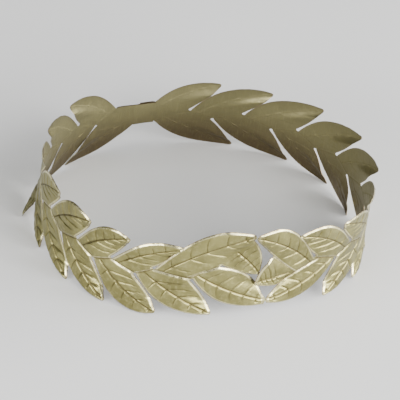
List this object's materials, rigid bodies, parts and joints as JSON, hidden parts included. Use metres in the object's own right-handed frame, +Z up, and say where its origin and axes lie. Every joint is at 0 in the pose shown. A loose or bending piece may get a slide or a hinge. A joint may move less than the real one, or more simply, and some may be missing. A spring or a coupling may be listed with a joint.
{
  "type": "laurel wreath crown",
  "caption": "Laurel wreath crown of thin brass sheet: two leafy branches bent round a head and joined at back and front.",
  "frame": {"origin": "centre of the wreath's bounding box, on the surface that its lower leaf tips stand on", "axes": "+X to the branch on the wearer's left, +Y to the back seam, +Z up"},
  "size_m": [0.2024, 0.1746, 0.0621],
  "materials": {
    "right_branch": "satin, lightly tarnished, brighter on raised edges",
    "left_branch": "satin, lightly tarnished, brighter on raised edges"
  },
  "bodies": {
    "root": {"right_branch": "right_branch", "left_branch": "left_branch"}
  },
  "joints": []
}
